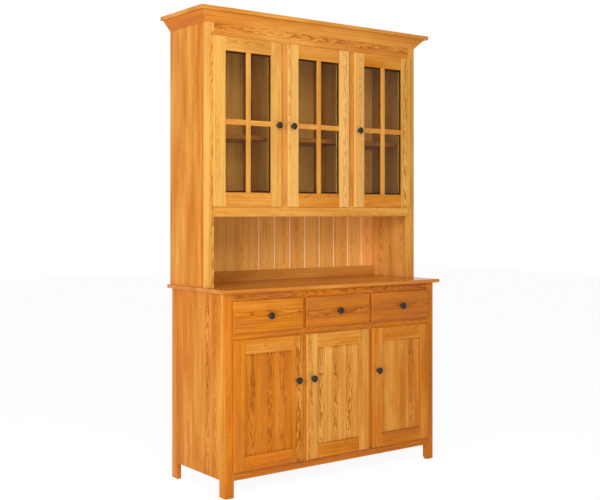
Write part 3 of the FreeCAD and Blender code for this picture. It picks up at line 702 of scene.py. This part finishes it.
# How thick the steel of a channel or a runner is.
WEB = 1.5 * MM
# The pins under a shelf: their rings, and how far from its front and back they sit.
PIN_RADIUS = 2.4 * MM
PIN_REACH = 9 * MM
PIN_ROUNDING = 1.5 * MM
PIN_RINGS = (
    (PIN_RADIUS, 0.0, 0.0), (PIN_RADIUS, PIN_REACH, 0.0), (PIN_RADIUS / 2, PIN_REACH + PIN_ROUNDING, 0.0),
)
PIN_INSET = 50 * MM


def solids_of(name):
    """The lowest and highest corner of each solid of a CAD part, and the places of its vertices."""
    mesh = frame["nodes"][name].data
    return [
        (low, high, [mesh.vertices[index].co for index in members])
        for low, high, members in boards_of(mesh)
    ]


def spread(first, last, count):
    """Evenly spaced values from the first to the last."""
    return [first + (last - first) * step / (count - 1) for step in range(count)]


def add_slab(shape, outline, left, right):
    """Adds an upright board between two places across; its outline has depths and heights."""
    ends = [
        [shape.verts.new((across, depth, height)) for depth, height in outline]
        for across in (left, right)
    ]
    shape.faces.new(ends[0])
    shape.faces.new(ends[1][::-1])
    for step in range(len(outline)):
        after = (step + 1) % len(outline)
        shape.faces.new((ends[0][after], ends[0][step], ends[1][step], ends[1][after]))


# Between the glazed doors a partition stands behind each post, flush with the opening of the
# outer bay, and the shelf is let into its back.
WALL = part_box("hutch_side_left")[1][0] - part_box("hutch_side_left")[0][0]
inner_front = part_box("hutch_decks")[0][1]
inner_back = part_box("hutch_decks")[1][1]
shelf_low, shelf_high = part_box("hutch_shelf")
deck_tops = sorted((low.z, high.z) for low, high, _ in solids_of("hutch_decks"))
floor_level = deck_tops[0][1]
ceiling_level = deck_tops[1][0]
outline = (
    (inner_front, floor_level), (inner_back, floor_level), (inner_back, shelf_low[2]),
    (shelf_low[1], shelf_low[2]), (shelf_low[1], shelf_high[2]), (inner_back, shelf_high[2]),
    (inner_back, ceiling_level), (inner_front, ceiling_level),
)
partitions = bmesh.new()
for low, high, _ in solids_of("hutch_stiles"):
    if low.z > floor_level - SAME_PLACE:
        left = low.x if low.x < 0 else high.x - WALL
        add_slab(partitions, outline, left, left + WALL)
lay_grain("hutch_partitions", finish_piece("hutch_partitions", partitions, OAK_PANEL, CARCASS))


def screw(shape, centre, out, diameter):
    """Adds a pan-head screw with a cross recess."""
    rings = [(radius * diameter, height * diameter, cross) for radius, height, cross in SCREW_SHARES]
    turned(shape, centre, out, rings, SCREW_SIDES)


def turn_knob(node, screws):
    """The turned form of a knob, and behind its door or drawer front the head of its screw."""
    low, high = (Vector(corner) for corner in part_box(node))
    middle = (low + high) / 2
    diameter = high.x - low.x
    projection = high.y - low.y
    rings = [
        (diameter * out_share, projection * height_share, 0.0)
        for out_share, height_share in zip(KNOB_RADIUS_SHARES, KNOB_HEIGHT_SHARES)
    ]
    shape = bmesh.new()
    turned(shape, (middle.x, high.y, middle.z), (0, -1, 0), rings, KNOB_SIDES)
    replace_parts(finish_piece(node + "_turned", shape, BRONZE, body_of[node]), node)
    stem = node[:-len("knob")]
    front = stem + ("front" if stem + "front" in body_of else "frame")
    screw(screws, (middle.x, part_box(front)[1][1], middle.z), (0, 1, 0), KNOB_SCREW)


def screw_cups(node, screws):
    """One screw in each ear of a hinge cup."""
    for low, high, _ in solids_of(node):
        if high.y - low.y < EAR_LIMIT:
            middle = (low + high) / 2
            screw(screws, (middle.x, high.y, middle.z), (0, 1, 0), HINGE_SCREW)


def screw_arms(node, screws):
    """Two screws in the plate of each hinge arm; the plate is its tallest part."""
    for low, high, places in solids_of(node):
        plate = [place for place in places if high.z - place.z < SAME_PLACE]
        across = (min(place.x for place in plate) + max(place.x for place in plate)) / 2
        face = max(place.y for place in plate)
        for height in (low.z + PLATE_SCREW_INSET, high.z - PLATE_SCREW_INSET):
            screw(screws, (across, face, height), (0, 1, 0), HINGE_SCREW)


def screw_row(screws, low, high, across, rise, out):
    """A row of screws from front to back, a little above the middle of a channel or a runner."""
    height = (low.z + high.z) / 2 + rise
    for depth in spread(low.y + SLIDE_SCREW_INSET, high.y - SLIDE_SCREW_INSET, SLIDE_SCREWS):
        screw(screws, (across, depth, height), (out, 0, 0), SLIDE_SCREW)


def screw_channels(node, screws):
    """Screws in the web of each channel, seen from its open side, which faces its drawer."""
    for low, high, _ in solids_of(node):
        across = (low.x + high.x) / 2
        out = math.copysign(1, min((place - across for place in DRAWER_MIDDLES), key=abs))
        web = low.x + WEB if out > 0 else high.x - WEB
        screw_row(screws, low, high, web, CHANNEL_SCREW_RISE, out)


def screw_runners(node, screws):
    """Screws in each runner, on the side away from its drawer, which shows when the drawer is out."""
    middle = (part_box(node)[0][0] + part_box(node)[1][0]) / 2
    for low, high, _ in solids_of(node):
        out = math.copysign(1, (low.x + high.x) / 2 - middle)
        web = low.x + WEB if out > 0 else high.x - WEB
        screw_row(screws, low, high, web, RUNNER_SCREW_RISE, out)


DRAWER_MIDDLES = [
    (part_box(node)[0][0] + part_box(node)[1][0]) / 2 for node in sorted(body_of) if node.endswith("_box")
]
# What is made for a node, by the end of its name. All screws on one body are one piece.
SMALL_PIECES = {
    "_knob": turn_knob, "_cups": screw_cups, "hinge_arms": screw_arms,
    "slide_channels": screw_channels, "_runners": screw_runners,
}
screws_on = {body: bmesh.new() for body in sorted(set(body_of.values()))}
for node in sorted(body_of):
    for ending, make in SMALL_PIECES.items():
        if node.endswith(ending):
            make(node, screws_on[body_of[node]])
for body, shape in screws_on.items():
    finish_piece(body + "_screws", shape, NICKEL, body)

# Four pins carry each shelf that is not a deck.
pins = bmesh.new()
deck_height = min(low.z for low, _, _ in solids_of("base_shelves"))
for low, high, _ in solids_of("hutch_shelf") + solids_of("base_shelves"):
    if low.z > deck_height + SAME_PLACE:
        for wall, out in ((low.x, 1), (high.x, -1)):
            for depth in (low.y + PIN_INSET, high.y - PIN_INSET):
                turned(pins, (wall, depth, low.z - PIN_RADIUS), (out, 0, 0), PIN_RINGS, SCREW_SIDES)
finish_piece("shelf_pins", pins, NICKEL, CARCASS)


def shown(tree):
    """1 for rays from the camera and from gloss and glass, that see the backdrop white."""
    paths = add(tree, "LightPath", {}).node.outputs
    seen = add(tree, "Math", [paths["Is Camera Ray"], paths["Is Glossy Ray"]], operation="MAXIMUM")
    return add(tree, "Math", [seen, paths["Is Transmission Ray"]], operation="MAXIMUM")


# A white paper floor that keeps a faint shadow, and a white world round it.
floor_mesh = bpy.data.meshes.new("floor")
floor_shape = bmesh.new()
bmesh.ops.create_grid(floor_shape, x_segments=1, y_segments=1, size=FLOOR_HALF)
floor_shape.to_mesh(floor_mesh)
floor_shape.free()
floor = bpy.data.objects.new("floor", floor_mesh)
WORK.objects.link(floor)
floor_material, floor_tree = start_material("paper_floor")
floor_surface = add(floor_tree, "BsdfDiffuse", {"Color": linear(PAPER)})
floor_white = add(floor_tree, "Emission", {"Color": WHITE, "Strength": FLOOR_WHITE})
floor_share = add(floor_tree, "MapRange", [shown(floor_tree), 0.0, 1.0, 0.0, FLOOR_WHITE_SHARE])
floor_glow = add(floor_tree, "MixShader", [floor_share, floor_surface, floor_white])
add(floor_tree, "OutputMaterial", {"Surface": floor_glow})
floor_mesh.materials.append(floor_material)

world = bpy.data.worlds.new("studio")
bpy.context.scene.world = world
world.use_nodes = True
world.node_tree.nodes.clear()
strength = add(world.node_tree, "MapRange", [shown(world.node_tree), 0.0, 1.0, WORLD_LIGHT, 1.0])
sky = add(world.node_tree, "Background", {"Color": WHITE, "Strength": strength})
add(world.node_tree, "OutputWorld", {"Surface": sky})


def softbox(name, place, aim, width, height, watts):
    """A rectangular lamp that faces a point; lengths in metres."""
    light = bpy.data.lights.new(name, "AREA")
    light.shape = "RECTANGLE"
    light.size = width
    light.size_y = height
    light.energy = watts
    lamp = bpy.data.objects.new(name, light)
    lamp.location = place
    lamp.rotation_euler = (Vector(aim) - Vector(place)).to_track_quat("-Z", "Y").to_euler()
    WORK.objects.link(lamp)


for lamp in LAMPS:
    softbox(*lamp)

camera_data = bpy.data.cameras.new("camera")
camera_data.sensor_width = SENSOR_WIDTH
camera_data.sensor_fit = "HORIZONTAL"
camera_data.lens = FOCAL_PIXELS / FRAME_WIDTH * SENSOR_WIDTH
camera_data.shift_x = (FRAME_WIDTH / 2 - MIDDLE_PIXEL) / FRAME_WIDTH
camera_data.shift_y = (HORIZON_PIXEL - FRAME_HEIGHT / 2) / FRAME_WIDTH
camera = bpy.data.objects.new("camera", camera_data)
camera.location = CAMERA_PLACE
camera.rotation_euler = (math.radians(90), 0, -math.radians(CAMERA_TURN))
WORK.objects.link(camera)
bpy.context.scene.camera = camera
bpy.context.scene.view_settings.view_transform = "Standard"
